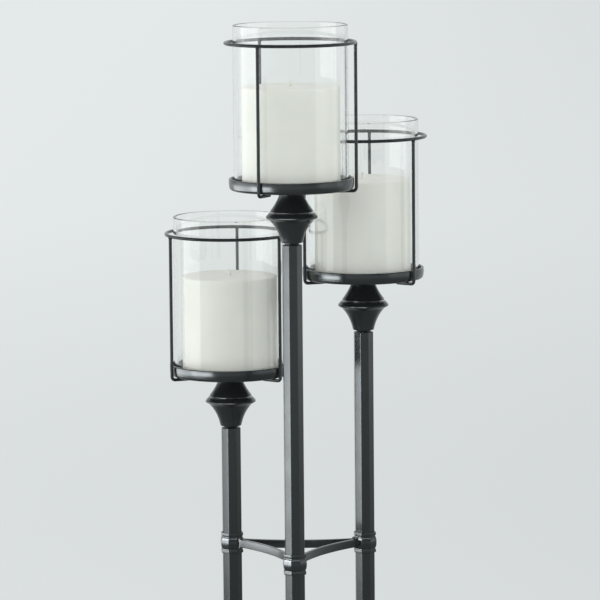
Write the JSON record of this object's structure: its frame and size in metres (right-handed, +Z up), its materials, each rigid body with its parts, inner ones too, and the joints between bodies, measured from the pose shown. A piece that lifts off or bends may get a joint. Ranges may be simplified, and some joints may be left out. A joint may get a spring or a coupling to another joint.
{
  "type": "candelabra",
  "caption": "Tabletop candelabra: octagonal posts at stepped heights carry turned knobs, dishes, wire cages, glass cylinders and pillar candles.",
  "frame": {"origin": "on the table top, under the centre of the bounding box, with the three foot pads at z = 0", "axes": "+Z up; the tallest (middle) post stands towards -Y, the lowest (left) towards -X and the right one towards +X"},
  "size_m": [0.2788, 0.244, 0.7013],
  "materials": {
    "gunmetal_paint": "satin dark gunmetal paint",
    "zinc_plated_steel": "zinc plated",
    "clear_glass": "clear, fire-polished rim",
    "ivory_wax": "smooth ivory wax",
    "cotton_wick": "waxed braided cotton",
    "black_rubber": "moulded matt rubber"
  },
  "bodies": {
    "stand": {"post_middle": "gunmetal_paint", "threaded_insert_middle": "zinc_plated_steel", "upper_collar_middle": "gunmetal_paint", "lower_collar_middle": "gunmetal_paint", "drop_finial_middle": "gunmetal_paint", "leg_middle": "gunmetal_paint", "foot_pad_middle": "black_rubber", "knob_middle": "gunmetal_paint", "dish_screw_middle": "zinc_plated_steel", "post_right": "gunmetal_paint", "threaded_insert_right": "zinc_plated_steel", "upper_collar_right": "gunmetal_paint", "lower_collar_right": "gunmetal_paint", "drop_finial_right": "gunmetal_paint", "leg_right": "gunmetal_paint", "foot_pad_right": "black_rubber", "knob_right": "gunmetal_paint", "dish_screw_right": "zinc_plated_steel", "post_left": "gunmetal_paint", "threaded_insert_left": "zinc_plated_steel", "upper_collar_left": "gunmetal_paint", "lower_collar_left": "gunmetal_paint", "drop_finial_left": "gunmetal_paint", "leg_left": "gunmetal_paint", "foot_pad_left": "black_rubber", "knob_left": "gunmetal_paint", "dish_screw_left": "zinc_plated_steel", "upper_bar_middle_right": "gunmetal_paint", "lower_bar_middle_right": "gunmetal_paint", "upper_bar_right_left": "gunmetal_paint", "lower_bar_right_left": "gunmetal_paint", "upper_bar_left_middle": "gunmetal_paint", "lower_bar_left_middle": "gunmetal_paint"},
    "lantern_middle": {"dish_middle": "gunmetal_paint", "cage_ring_middle": "gunmetal_paint", "cage_upright_middle_1": "gunmetal_paint", "cage_upright_middle_2": "gunmetal_paint", "cage_upright_middle_3": "gunmetal_paint"},
    "glass_cylinder_middle": {"glass_middle": "clear_glass"},
    "pillar_candle_middle": {"candle_middle": "ivory_wax", "wick_middle": "cotton_wick"},
    "lantern_right": {"dish_right": "gunmetal_paint", "cage_ring_right": "gunmetal_paint", "cage_upright_right_1": "gunmetal_paint", "cage_upright_right_2": "gunmetal_paint", "cage_upright_right_3": "gunmetal_paint"},
    "glass_cylinder_right": {"glass_right": "clear_glass"},
    "pillar_candle_right": {"candle_right": "ivory_wax", "wick_right": "cotton_wick"},
    "lantern_left": {"dish_left": "gunmetal_paint", "cage_ring_left": "gunmetal_paint", "cage_upright_left_1": "gunmetal_paint", "cage_upright_left_2": "gunmetal_paint", "cage_upright_left_3": "gunmetal_paint"},
    "glass_cylinder_left": {"glass_left": "clear_glass"},
    "pillar_candle_left": {"candle_left": "ivory_wax", "wick_left": "cotton_wick"}
  },
  "joints": [
    {"name": "lantern_turn_middle", "type": "hinge", "parent": "stand", "child": "lantern_middle", "pos_m": [0, -0.02416, 0.574], "axis": [0, 0, 1], "continuous": true},
    {"name": "glass_lift_middle", "type": "slide", "parent": "lantern_middle", "child": "glass_cylinder_middle", "axis": [0, 0, 1], "range_m": [0, 0.135]},
    {"name": "candle_lift_middle", "type": "slide", "parent": "lantern_middle", "child": "pillar_candle_middle", "axis": [0, 0, 1], "range_m": [0, 0.135]},
    {"name": "lantern_turn_right", "type": "hinge", "parent": "stand", "child": "lantern_right", "pos_m": [0.0534, 0.06833, 0.4935], "axis": [0, 0, 1], "continuous": true},
    {"name": "glass_lift_right", "type": "slide", "parent": "lantern_right", "child": "glass_cylinder_right", "axis": [0, 0, 1], "range_m": [0, 0.135]},
    {"name": "candle_lift_right", "type": "slide", "parent": "lantern_right", "child": "pillar_candle_right", "axis": [0, 0, 1], "range_m": [0, 0.135]},
    {"name": "lantern_turn_left", "type": "hinge", "parent": "stand", "child": "lantern_left", "pos_m": [-0.0534, 0.06833, 0.4165], "axis": [0, 0, 1], "continuous": true},
    {"name": "glass_lift_left", "type": "slide", "parent": "lantern_left", "child": "glass_cylinder_left", "axis": [0, 0, 1], "range_m": [0, 0.135]},
    {"name": "candle_lift_left", "type": "slide", "parent": "lantern_left", "child": "pillar_candle_left", "axis": [0, 0, 1], "range_m": [0, 0.135]}
  ]
}
